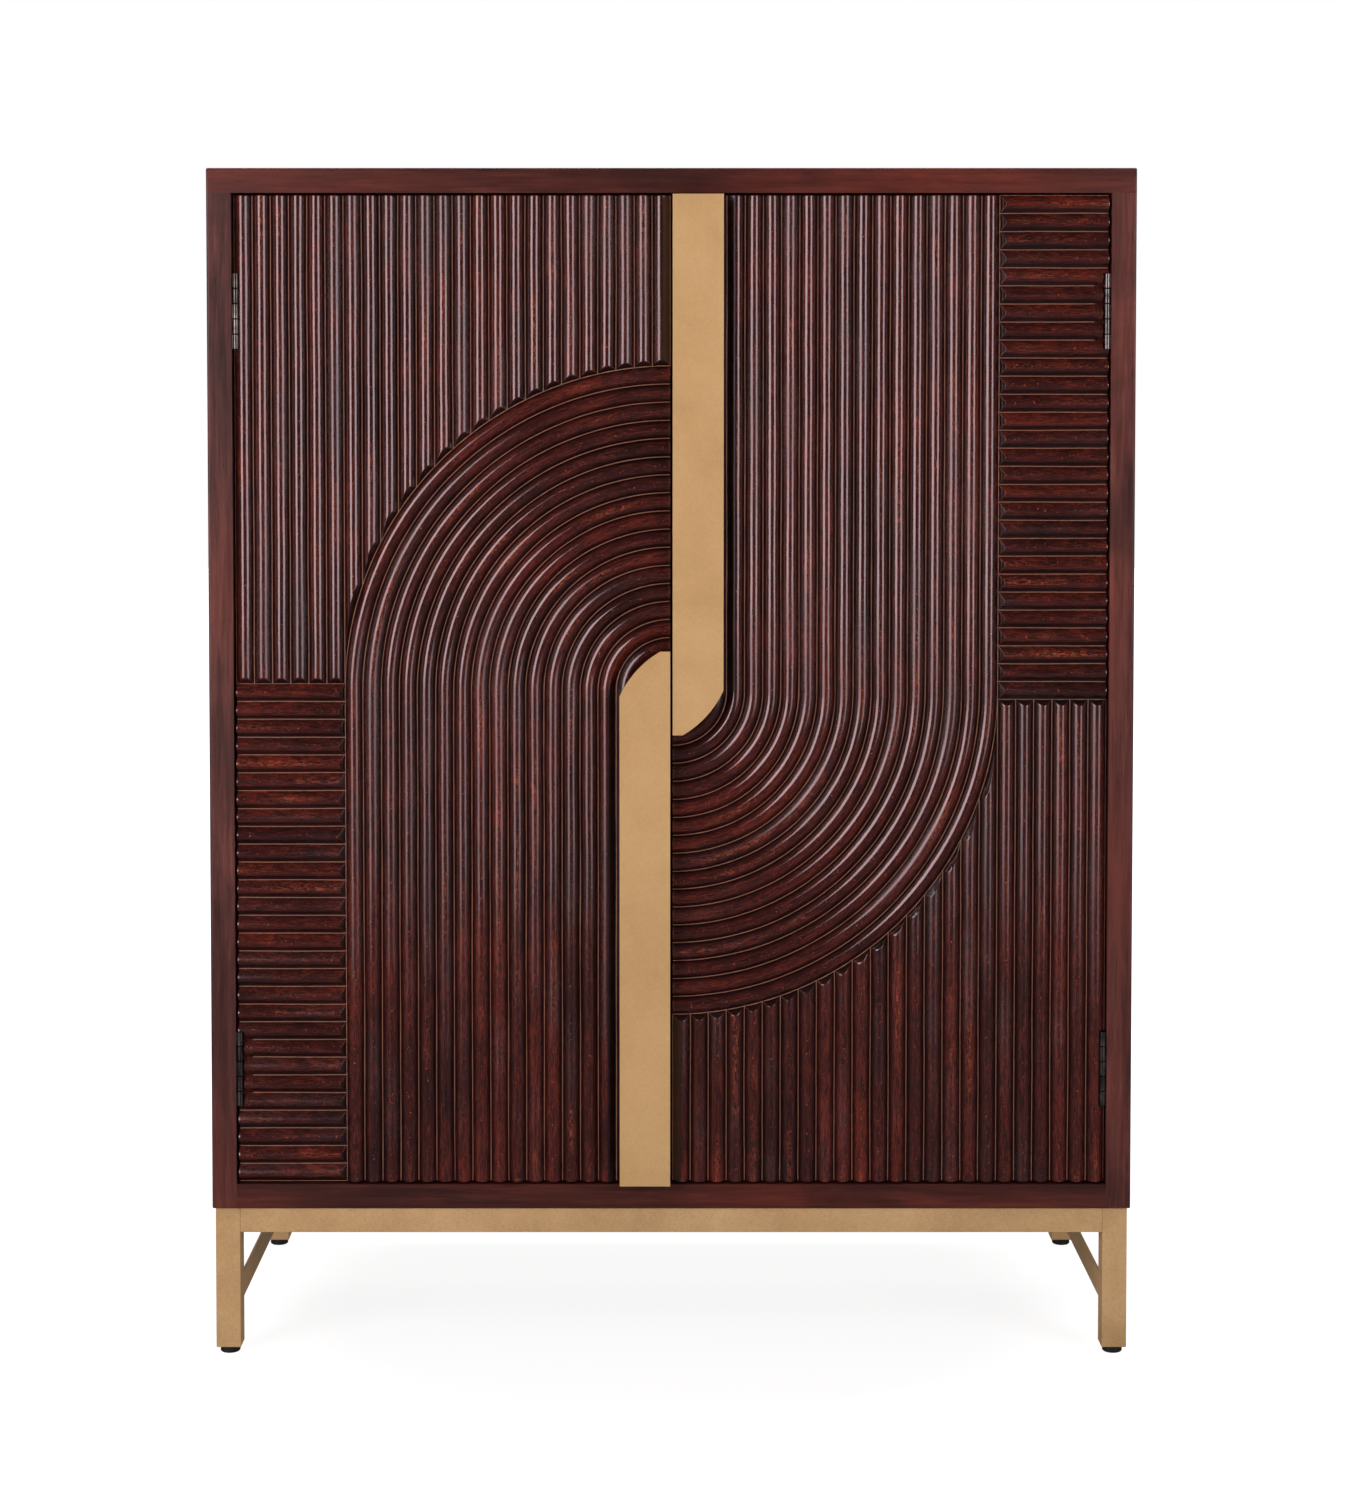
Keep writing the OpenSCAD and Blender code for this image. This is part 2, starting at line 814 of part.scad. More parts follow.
// Upright ridges between the arch and the top, over the side field
module upright_ridge_field(side) {
  color(carved_colour) at_door(side) difference() {
    translate([0, 0, side_rise]) linear_extrude(door_h / 2 - side_rise) ridges(ridge_count, pitch);
    rotate([-90, 0, 0]) translate([0, 0, -past]) cylinder(h = carved_t + 2 * past, r = arch_r, $fn = ring_fn);
    rotate([-90, 0, 0]) translate([0, 0, -past])
      cylinder(h = relief + past, r1 = arch_r + relief + past, r2 = arch_r, $fn = ring_fn);
    translate([arch_r, 0, side_rise]) rotate([90, 0, 90])
      linear_extrude(door_w - arch_r + past) slope_section();
    hinge_room();
  }
}

// Level ridges beside the arch
module level_ridge_field(side) {
  color(carved_colour) at_door(side) difference() {
    translate([arch_r, 0, side_rise]) rotate([0, 90, 0])
      linear_extrude(door_w - arch_r) ridges(side_rows, row_pitch);
    translate([arch_r, 0, -door_h / 2 - past]) linear_extrude(side_h + 2 * past) slope_section();
    hinge_room();
  }
}

// Outline of a pull's layer: straight edges, and the end cut along one large arc
module pull_outline(w) {
  intersection() {
    translate([0, -door_h / 2]) square([w, door_h / 2 + pull_rise]);
    union() {
      translate([0, -door_h / 2]) square([w, door_h / 2 - pull_end_drop]);
      translate([pull_w, -pull_end_drop] - pull_end_r * [cos(pull_end_angle), sin(pull_end_angle)])
        circle(pull_end_r, $fn = ring_fn);
    }
  }
}

// What of that outline lies on the flat wood inside the arch
module pull_foot_outline(w) {
  intersection() {
    pull_outline(w);
    union() {
      translate([0, -door_h / 2]) square([w, door_h / 2]);
      translate([-pull_inset, 0]) circle(pull_foot_r, $fn = ring_fn);
    }
  }
}

module pull(side) {
  color(gold_colour) at_door(side) difference() {
    translate([pull_inset, 0, 0]) union() {
      layer(-pull_proud, pull_t) pull_outline(pull_w);
      layer(-pull_proud, pull_proud + relief) pull_foot_outline(pull_t);
      layer(relief - pull_t, pull_t) pull_foot_outline(pull_flange_w);
    }
    at_pull_screws() translate([0, 0, -pull_screw_l - past])
      cylinder(h = pull_screw_l + past, r = pull_screw_r + running_gap);
  }
}

module pull_screws(side) {
  color(steel_colour) at_door(side) at_pull_screws() screw(pull_screw_r, pull_screw_head_r, pull_screw_l);
}

module hinge_leaves(side) {
  color(bronze_colour) at_door(side) hinge_door_leaves();
}

module hinge_screws(side) {
  color(bronze_colour) at_door(side) at_hinges() at_leaf_screws() door_screw_place()
    screw(hinge_screw_r, hinge_screw_head_r, hinge_screw_l);
}

module strike(side) {
  color(steel_colour) at_door(side) difference() {
    at_strike(side) from_to([-strike_w / 2, 0, -strike_h / 2], [strike_w / 2, strike_t, strike_h / 2]);
    strike_screw_hole(side);
  }
}

module strike_screw(side) {
  color(steel_colour) at_door(side) at_strike(side) translate([0, strike_t, 0]) rotate([-90, 0, 0])
    screw(hinge_screw_r, hinge_screw_head_r, strike_screw_l);
}

// Every node under its own name
top_panel();
bottom_panel();
side_panel_left();
side_panel_right();
back_panel();
back_screws();
carcass_dowels();
middle_shelf();
adjustable_shelf();
shelf_pins();
stemware_rails();
bottle_rack_front();
bottle_rack_rear();
rack_screws();
catches();
top_screws();
leg_front_left();
leg_front_right();
leg_rear_left();
leg_rear_right();
leg_inserts();
rail_front();
rail_rear();
rail_left();
rail_right();
stretcher_left();
stretcher_right();
base_tabs();
base_screws();
foot_front_left();
foot_front_right();
foot_rear_left();
foot_rear_right();
hinge_frame_leaves();
hinge_pins();
hinge_frame_screws();
door_core(-1);  // door_left_core
arch_ridge_field(-1);  // door_left_arch_ridges
upright_ridge_field(-1);  // door_left_upright_ridges
level_ridge_field(-1);  // door_left_level_ridges
pull(-1);  // pull_left
pull_screws(-1);  // pull_screws_left
hinge_leaves(-1);  // hinge_leaves_left
hinge_screws(-1);  // hinge_screws_left
strike(-1);  // strike_left
strike_screw(-1);  // strike_screw_left
door_core(1);  // door_right_core
arch_ridge_field(1);  // door_right_arch_ridges
upright_ridge_field(1);  // door_right_upright_ridges
level_ridge_field(1);  // door_right_level_ridges
pull(1);  // pull_right
pull_screws(1);  // pull_screws_right
hinge_leaves(1);  // hinge_leaves_right
hinge_screws(1);  // hinge_screws_right
strike(1);  // strike_right
strike_screw(1);  // strike_screw_right
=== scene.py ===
import json
import math
import random

import bmesh
import bpy
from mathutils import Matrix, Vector, noise

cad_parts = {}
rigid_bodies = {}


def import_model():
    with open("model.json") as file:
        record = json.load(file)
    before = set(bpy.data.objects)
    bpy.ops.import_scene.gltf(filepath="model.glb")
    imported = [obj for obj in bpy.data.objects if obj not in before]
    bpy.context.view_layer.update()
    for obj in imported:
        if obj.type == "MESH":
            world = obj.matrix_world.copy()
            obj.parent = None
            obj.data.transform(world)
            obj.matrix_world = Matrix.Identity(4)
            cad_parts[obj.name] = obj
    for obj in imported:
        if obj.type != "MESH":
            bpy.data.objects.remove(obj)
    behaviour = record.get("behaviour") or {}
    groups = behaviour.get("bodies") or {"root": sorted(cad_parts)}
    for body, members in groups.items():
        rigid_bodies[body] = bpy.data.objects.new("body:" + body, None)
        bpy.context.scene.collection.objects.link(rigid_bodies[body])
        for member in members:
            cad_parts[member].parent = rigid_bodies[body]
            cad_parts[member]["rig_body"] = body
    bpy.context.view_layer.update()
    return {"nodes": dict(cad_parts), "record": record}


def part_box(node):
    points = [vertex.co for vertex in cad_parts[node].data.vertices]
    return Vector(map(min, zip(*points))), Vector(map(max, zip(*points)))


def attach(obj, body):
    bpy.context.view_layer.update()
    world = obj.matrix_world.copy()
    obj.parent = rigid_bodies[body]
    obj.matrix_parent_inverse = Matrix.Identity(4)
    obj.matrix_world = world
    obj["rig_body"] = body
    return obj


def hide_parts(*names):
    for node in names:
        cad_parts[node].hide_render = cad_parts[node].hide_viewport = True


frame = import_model()
nodes = frame["nodes"]
mm = 0.001
sides = {"left": -1, "right": 1}
print("frame loaded,", len(nodes), "nodes")


# Colours are written as a screen shows them, from 0 to 255
def shade(red, green, blue):
    linear = [((c / 255 + 0.055) / 1.055) ** 2.4 if c > 10 else c / 3295 for c in (red, green, blue)]
    return (*linear, 1.0)


# A new shader node; what goes into it is a value or another node's output
def addNode(tree, kind, inputs=None, **settings):
    node = tree.nodes.new("ShaderNode" + kind)
    for name, value in settings.items():
        setattr(node, name, value)
    for name, value in (inputs or {}).items():
        socket = node.inputs[name]
        if isinstance(value, bpy.types.NodeSocket):
            tree.links.new(value, socket)
        else:
            socket.default_value = value
    return node


# A new material with its shader's own values set; what varies is linked to it afterwards
def startMaterial(name, **values):
    material = bpy.data.materials.new(name)
    material.use_nodes = True
    tree = material.node_tree
    shader = tree.nodes["Principled BSDF"]
    for key, value in values.items():
        shader.inputs[key.replace("_", " ")].default_value = value
    return material, tree, shader


# Where on the piece a point lies
def place(tree, scale=(1, 1, 1), shift=(0, 0, 0)):
    spot = addNode(tree, "TexCoord").outputs["Object"]
    return addNode(tree, "Mapping", {"Vector": spot, "Scale": scale, "Location": shift}).outputs[0]


# Cloudy noise from 0 to 1
def cloud(tree, vector, scale, detail=4.0, rough=0.55, distort=0.0):
    inputs = {"Vector": vector, "Scale": scale, "Detail": detail, "Roughness": rough, "Distortion": distort}
    return addNode(tree, "TexNoise", inputs).outputs["Fac"]


# Carries a range of values over to another one
def between(tree, value, low, high, toLow=0.0, toHigh=1.0):
    inputs = {"Value": value, "From Min": low, "From Max": high, "To Min": toLow, "To Max": toHigh}
    return addNode(tree, "MapRange", inputs).outputs[0]


def sums(tree, kind, first, second=0.0):
    return addNode(tree, "Math", {0: first, 1: second}, operation=kind).outputs[0]


def blendColours(tree, factor, first, second):
    return addNode(tree, "Mix", {0: factor, 6: first, 7: second}, data_type="RGBA").outputs[2]


# Colours at their places between 0 and 1
def ramp(tree, factor, stops):
    node = addNode(tree, "ValToRGB", {"Fac": factor})
    band = node.color_ramp
    stops = list(stops)
    while len(band.elements) < len(stops):
        band.elements.new(0.5)
    for element, (spot, colour) in zip(band.elements, stops):
        element.position = spot
        element.color = colour
    return node.outputs[0]


# Fine relief of the surface
def roughen(tree, shader, height, strength, depth):
    inputs = {"Height": height, "Strength": strength, "Distance": depth}
    tree.links.new(addNode(tree, "Bump", inputs).outputs[0], shader.inputs["Normal"])


# Polished wood: broad figure, fine streaks and pores along the grain, warm patches and dark stain
def woodMaterial(name, look):
    along = "xyz".index(look["grain"])
    stretch = [look["stretch"] if axis == along else 1.0 for axis in range(3)]
    material, tree, shader = startMaterial(
        name, Coat_Weight=look["coat"], Coat_Roughness=look["coatRoughness"], Specular_IOR_Level=look["gloss"]
    )
    spot = place(tree, stretch)
    figure = cloud(tree, spot, look["figureScale"], 5.0, 0.6, 1.2)
    streaks = cloud(tree, spot, look["streakScale"], 6.0, 0.7, 0.4)
    pores = cloud(tree, spot, look["poreScale"], 3.0, 0.6)
    figure = sums(tree, "MULTIPLY", figure, look["figureShare"])
    body = sums(tree, "ADD", figure, sums(tree, "MULTIPLY", streaks, 1 - look["figureShare"]))
    colour = ramp(tree, body, zip(look["stops"], (look["dark"], look["body"], look["light"])))
    patches = place(tree, [0.5 if axis == along else 1.4 for axis in range(3)])
    patches = cloud(tree, patches, look["patchScale"], 2.0)
    patches = between(tree, patches, 0.52, 0.72, 0.0, look["patchShare"])
    colour = blendColours(tree, patches, colour, look["warm"])
    blotches = place(tree, [0.35 if axis == along else 1.0 for axis in range(3)], (3.0, 1.0, 2.0))
    blotches = cloud(tree, blotches, look["blotchScale"], 5.0, 0.6, 0.8)
    blotches = between(tree, blotches, 0.48, 0.6, 0.0, look["blotchShare"])
    colour = blendColours(tree, blotches, colour, look["dark"])
    pores = between(tree, pores, 0.62, 0.72, 0.0, look["poreShare"])
    colour = blendColours(tree, pores, colour, look["pore"])
    tree.links.new(colour, shader.inputs["Base Color"])
    tree.links.new(between(tree, streaks, 0.35, 0.68, *look["roughness"]), shader.inputs["Roughness"])
    roughen(tree, shader, sums(tree, "SUBTRACT", streaks, pores), look["bump"], 0.4 * mm)
    return material


# The carved fronts. The ridges were cut by hand, so the grooves wander a little and the crests dip
carving = {
    "ridges": 24,  # across a door
    "insideArch": 2,  # ridge widths of flat wood inside the arch
    "archRidges": 16,
    "levelRows": 28,
    "relief": 6 * mm,
    "layer": 9 * mm,  # thickness of the carved layer
    "groove": 0.7 * mm,  # flat bottom between two ridges
    "wander": 0.45 * mm,  # how far a groove leaves its straight line
    "wanderLength": 90 * mm,
    "dip": 0.35 * mm,  # how far a crest sinks
    "dipLength": 50 * mm,
    "crest": 5.4 * mm,  # radius on top of the upright and the arched ridges
    "levelCrest": 3.2 * mm,
    "levelStain": (0.55, 1.4),  # how far toward the crest the painted shade comes on the upper and lower flanks; the lower flanks, turned away from the light above, get more
    "sectionSteps": 16,
    "edgeRound": 1.1 * mm,  # rounding along the doors' edges
    "edgeSteps": (1.0, 0.35, 0.0),  # places on that rounding, as shares of it
    "endEase": 0.8 * mm,  # where a ridge meets its sloped end
    "endTone": 0.95,  # how strong the painted shade on the sloped ends is
    "creaseAngle": 20,  # degrees; sharper edges stay crisp
    "corner": 0.5,  # ridge widths beside the meeting edge with a painted shadow of the other door's pull
    "archCorner": 1.5,  # the same painted pull shadow beside a pull, from the arch's inner edge
    "seed": 11,
}


# Across one ridge, a round crest between straighter flanks, as shares of its width:
# share, depth behind the crest, 1 in the groove, -1 to 1 over the ridge
def ridgeSection(step, crest):
    half = (step - carving["groove"]) / 2
    relief = carving["relief"]
    soft = crest * relief * relief / (half * half - 2 * crest * relief)
    steep = (relief * relief + 2 * relief * soft) / (half * half)
    last = carving["sectionSteps"]
    section = [(0.0, relief, 1.0, -1.0)]
    for i in range(last + 1):
        across = 2 * i / last - 1
        across = 0.7 * across + 0.3 * across ** 3  # closer steps near the crest
        depth = math.sqrt(soft * soft + steep * (across * half) ** 2) - soft
        section.append((0.5 + across * half / step, depth, 1.0 if i in (0, last) else 0.0, across))
    return section


# How far a groove line has wandered, and how low a crest dips, at a place along it
def wander(line, run):
    spot = (line * 3.7, run / carving["wanderLength"], carving["seed"])
    fine = (line * 5.1, run / carving["wanderLength"] * 4.3, carving["seed"])
    return carving["wander"] * (noise.noise(spot) + 0.35 * noise.noise(fine))


def crestDip(line, run):
    spot = (line * 2.9, run / carving["dipLength"], carving["seed"] + 5)
    return carving["dip"] * (0.5 + 0.5 * noise.noise(spot))


# A closed mesh under a grid of (u, depth, z) in the door's frame: the carved face, its walls and its back
def carvedPiece(name, side, grid, extras):
    rows, columns = len(grid), len(grid[0])
    points = [point for row in grid for point in row]
    values = [value for row in extras for value in row]
    rim = [(0, c) for c in range(columns)] + [(r, columns - 1) for r in range(1, rows)]
    rim += [(rows - 1, c) for c in range(columns - 2, -1, -1)] + [(r, 0) for r in range(rows - 2, 0, -1)]
    rim = [r * columns + c for r, c in rim]
    back = range(len(points), len(points) + len(rim))
    for index in rim:
        u, depth, z = points[index]
        points.append((u, carving["layer"], z))
        values.append(values[index])
    faces = [
        (r * columns + c, r * columns + c + 1, (r + 1) * columns + c + 1, (r + 1) * columns + c)
        for r in range(rows - 1)
        for c in range(columns - 1)
    ]
    for i in range(len(rim)):
        j = (i + 1) % len(rim)
        faces.append((rim[j], rim[i], back[i], back[j]))
    faces.append(tuple(back))
    mesh = bpy.data.meshes.new(name)
    mesh.from_pydata([doorPoint(side, *point) for point in points], [], faces)
    for number, label in enumerate(("groove", "across", "tone", "run")):
        attribute = mesh.attributes.new(label, "FLOAT", "POINT")
        attribute.data.foreach_set("value", [value[number] for value in values])
    piece = bpy.data.objects.new(name, mesh)
    bpy.context.scene.collection.objects.link(piece)
    bm = bmesh.new()
    bm.from_mesh(mesh)
    bmesh.ops.recalc_face_normals(bm, faces=bm.faces)
    for face in bm.faces:
        face.smooth = True
    bm.to_mesh(mesh)
    bm.free()
    mesh.set_sharp_from_angle(angle=math.radians(carving["creaseAngle"]))
    return piece


# The columns of points over ridges side by side: ridge, then the facts of its section
def ridgeColumns(count, step, crest):
    section = ridgeSection(step, crest)
    columns = [(ridge, *point) for ridge in range(count) for point in section]
    columns.append((count - 1, 1.0, carving["relief"], 1.0, 1.0))
    return columns


# Lowers the face where it rounds over a cut edge
def edgeDrop(distance):
    ease = carving["edgeRound"]
    if distance >= ease:
        return 0.0
    return ease - math.sqrt(max(ease * ease - (ease - distance) ** 2, 0.0))


# How far across the field a column lies at a place along it; the lines in fixed don't wander
def spotAcross(field, ridge, share, run):
    lines = (ridge, ridge + 1)
    here, there = (0.0 if line in field["fixed"] else wander(line + field["number"], run) for line in lines)
    drift = here + (there - here) * max(share, 0.0)
    return field["origin"] + (ridge + share) * field["step"] + drift


# Straight ridges whose low ends slope down to the bottom of the grooves
def straightField(name, side, field):
    relief, ease, edge = carving["relief"], carving["endEase"], carving["edgeRound"]
    tones = random.Random(name)
    tone = [tones.random() for ridge in range(field["ridges"])]
    grid, extras = [], []
    for ridge, share, depth, groove, across in ridgeColumns(field["ridges"], field["step"], field["crest"]):
        start = field["lowEnd"](spotAcross(field, ridge, share, 0.0), relief)
        start = field["lowEnd"](spotAcross(field, ridge, share, start), relief)
        meets = max(field["lowEnd"](spotAcross(field, ridge, share, start), depth), start)
        before = min(ease, (meets - start) * 0.45)
        slope = (relief - depth) * before / max(meets - start, 1e-9)
        far = meets + 2 * ease
        runs = [(start, relief), (meets - before, depth + slope), (meets, depth + 0.3 * before)]
        runs.append((meets + ease, depth))
        long = field["highEnd"] - 2 * edge - far
        runs += [(far + long * i / field["parts"], depth) for i in range(field["parts"] + 1)]
        runs += [(field["highEnd"] - edge * left, depth) for left in carving["edgeSteps"]]
        # Painted shadow of the other door's pull, on the upright ridges beside the meeting edge
        inPullShadow = ridge + share < carving["corner"] and not field["turned"]
        # On the level rows the painted shade reaches further up the lower flanks, which face away from the
        # light above
        upper, lower = carving["levelStain"] if field["turned"] else (1.0, 1.0)
        flankShade = upper if across * sides[side] > 0 else lower
        column, facts, last = [], [], -1.0
        for index, (run, low) in enumerate(runs):
            run = last = max(run, last + 0.02 * mm)
            dip = crestDip(ridge + field["number"], run) * (1 - across * across) if index > 2 else 0.0
            low = min(low + dip, relief) + edgeDrop(field["highEnd"] - run)
            spot = spotAcross(field, ridge, share, run)
            column.append((run, low, -spot) if field["turned"] else (spot, low, run))
            shadedAcross = 1.0 if inPullShadow else across * flankShade
            # The sloped ends get painted shade
            if index < 2:
                shadedAcross = carving["endTone"]
            facts.append((groove if index else 1.0, shadedAcross, tone[ridge], run))
        grid.append(column)
        extras.append(facts)
    return carvedPiece(name, side, grid, extras)


# Quarter rings around the middle of the door that run on down to its bottom edge,
# and the flat wood inside them
def archField(name, side, field):
    relief, edge, down = carving["relief"], carving["edgeRound"], field["down"]
    tones = random.Random(name)
    tone = [tones.random() for ridge in range(field["ridges"])]
    # The flat wood inside the first ring takes the full painted shade
    flat = [(0, share, relief, 0.6, 1.0) for share in field["flatShares"]]
    grid, extras = [], []
    columns = flat + ridgeColumns(field["ridges"], field["step"], field["crest"])
    for ridge, share, depth, groove, across in columns:
        middle = field["origin"] + (ridge + 0.5) * field["step"]
        quarter = middle * math.pi / 2
        turns, parts = field["turns"], field["parts"]
        places = [edge * left for left in reversed(carving["edgeSteps"])]
        places += [2 * edge + (quarter - 2 * edge) * i / turns for i in range(turns + 1)]
        places += [quarter + (down - 2 * edge) * (i + 1) / parts for i in range(parts)]
        places += [quarter + down - edge * left for left in carving["edgeSteps"]]
        column, facts = [], []
        for run in places:
            reach = spotAcross(field, ridge, share, run)
            dip = crestDip(ridge + field["number"], run) * (1 - across * across)
            ends = edgeDrop(run) + edgeDrop(quarter + down - run)
            low = min(depth + dip, relief) + ends
            if run < quarter:
                turn = run / middle
                column.append((reach * math.sin(turn), low, reach * math.cos(turn)))
            else:
                column.append((reach, low, quarter - run))
            shadedAcross = across
            # Painted shadow of the pull on the straight part of the rings beside it
            if ridge + share < carving["archCorner"] and run > 0.75 * quarter:
                pullShadow = min(4 * run / quarter - 3, 1.0)
                shadedAcross = abs(across) + (1 - abs(across)) * pullShadow
            facts.append((groove, shadedAcross, tone[ridge], run))
        grid.append(column)
        extras.append(facts)
    return carvedPiece(name, side, grid, extras)


# Places on a door: u from the meeting edge, depth behind the carved front, z over the door's middle.
# The right door is the left one turned upside down
coreLow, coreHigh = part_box("door_left_core")
levelLow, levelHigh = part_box("door_left_level_ridges")
doorGap = -coreHigh.x  # from the cabinet's middle to a door
doorWide, doorHigh = coreHigh.x - coreLow.x, coreHigh.z - coreLow.z
doorMiddle = (coreLow.z + coreHigh.z) / 2
frontY = levelLow.y
archReach = -doorGap - levelHigh.x
fieldRise = levelHigh.z - doorMiddle
ridgeStep = doorWide / carving["ridges"]
rowStep = (doorHigh / 2 + fieldRise) / carving["levelRows"]


def doorPoint(side, u, depth, z):
    return (sides[side] * (doorGap + u), frontY + depth, doorMiddle - sides[side] * z)


# The upright ridges end on the arch, where their ends slope as a cone, or on the level field
def uprightEnd(u, depth):
    reach = archReach + carving["relief"] - depth
    onArch = math.sqrt(max(reach * reach - u * u, 0.0))
    onField = fieldRise + (carving["relief"] - depth if u >= archReach else 0.0)
    return max(onArch, onField)


def levelEnd(across, depth):
    return archReach + carving["relief"] - depth


# Makes a piece's modifiers part of its mesh
def applyModifiers(piece):
    graph = bpy.context.evaluated_depsgraph_get()
    mesh = bpy.data.meshes.new_from_object(piece.evaluated_get(graph))
    piece.modifiers.clear()
    piece.data = mesh


def newPiece(name, bm, material=None):
    mesh = bpy.data.meshes.new(name)
    bm.to_mesh(mesh)
    bm.free()
    piece = bpy.data.objects.new(name, mesh)
    bpy.context.scene.collection.objects.link(piece)
    if material:
        mesh.materials.append(material)
    return piece


hingeRoom = {
    "height": 76.2 * mm,
    "fromMiddle": 382 * mm,  # up and down from the door's middle
    "inset": 2 * mm,  # of the pin, from the door's edge and its front
    "clear": 4.3 * mm,  # radius
}


# Cuts the room for a hinge's barrel out of the carving at the door's outer edge
def cutHingeRoom(piece, side, z):
    bm = bmesh.new()
    turned = bmesh.ops.create_cone(
        bm,
        segments=32,
        radius1=hingeRoom["clear"],
        radius2=hingeRoom["clear"],
        depth=hingeRoom["height"],
        cap_ends=True,
    )
    spot = Vector(doorPoint(side, doorWide - hingeRoom["inset"], hingeRoom["inset"], z))
    bmesh.ops.translate(bm, verts=turned["verts"], vec=spot)
    cutter = newPiece("hingeRoomCutter", bm)
    modifier = piece.modifiers.new("room", "BOOLEAN")
    modifier.object = cutter
    modifier.solver = "EXACT"
    modifier.operation = "DIFFERENCE"
    applyModifiers(piece)
    bpy.data.objects.remove(cutter)


def carvedDoor(side, material):
    number = 1000 if side == "right" else 0
    upright = {
        "ridges": carving["ridges"],
        "step": ridgeStep,
        "origin": 0.0,
        "number": number,
        "fixed": (0, carving["insideArch"] + carving["archRidges"], carving["ridges"]),
        "crest": carving["crest"],
        "lowEnd": uprightEnd,
        "highEnd": doorHigh / 2,
        "parts": 26,
        "turned": False,
    }
    level = {
        "ridges": carving["levelRows"],
        "step": rowStep,
        "origin": -fieldRise,
        "number": number + 100,
        "fixed": (0, carving["levelRows"]),
        "crest": carving["levelCrest"],
        "lowEnd": levelEnd,
        "highEnd": doorWide,
        "parts": 8,
        "turned": True,
    }
    arch = {
        "ridges": carving["archRidges"],
        "step": ridgeStep,
        "origin": carving["insideArch"] * ridgeStep,
        "number": number + 200,
        "fixed": (0, carving["archRidges"]),
        "crest": carving["crest"],
        "flatShares": (-1.99, -1.2, -0.5),  # of a ridge's width, inside the first ring
        "turns": 56,
        "down": doorHigh / 2,
        "parts": 28,
    }
    made = {
        "upright": straightField("uprightRidges." + side, side, upright),
        "level": straightField("levelRidges." + side, side, level),
        "arch": archField("archRidges." + side, side, arch),
    }
    cutHingeRoom(made["upright"], side, hingeRoom["fromMiddle"])
    cutHingeRoom(made["level"], side, -hingeRoom["fromMiddle"])
    for kind, piece in made.items():
        piece.data.materials.clear()
        piece.data.materials.append(material)
        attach(piece, "door_" + side)
        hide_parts(f"door_{side}_{kind}_ridges")


# Dark polished wood of the ridges, with painted shade low on their flanks: the grooves rubbed pale, the
# crests rubbed red in places
carvedLook = {
    "deep": shade(13, 6, 7),  # painted shade low on the ridges' flanks, on their sloped ends and beside the pulls
    "dark": shade(27, 11, 11),
    "body": shade(60, 22, 18),
    "light": shade(114, 40, 26),
    "rubbed": shade(176, 84, 52),
    "groove": shade(172, 120, 92),
    "deepShare": 0.8,
    "grain": (42.0, 3.4, 90.0),  # its scale along a ridge, across it and from ridge to ridge
    "wear": (7.0, 0.0, 140.0),
    "sheen": (5.0, 0.0, 210.0),
    "cloudScale": 9.0,
    "speckScale": 420.0,
    "wornShare": 0.7,
    "nickShare": 0.8,
    "roughness": (0.11, 0.17),
    "stainRough": 0.2,  # the same where the painted shade is full: at the grooves' edges and in the painted pull shadows
    "grooveRough": 0.2,  # and in the grooves
    "dull": 0.14,  # rougher by this where the polish has worn off
    "coat": 0.1,
    "coatRoughness": 0.12,
    "gloss": 0.9,
    "tint": (1.0, 0.78, 0.8, 1.0),  # of the mirrored light
    "bump": 0.12,
}


# A place on the ridges: along them, across them and from ridge to ridge
def ridgeSpot(tree, facts, scales):
    named = zip("XYZ", ("run", "across", "tone"), scales)
    inputs = {axis: sums(tree, "MULTIPLY", facts[name], scale) for axis, name, scale in named}
    return addNode(tree, "CombineXYZ", inputs).outputs[0]


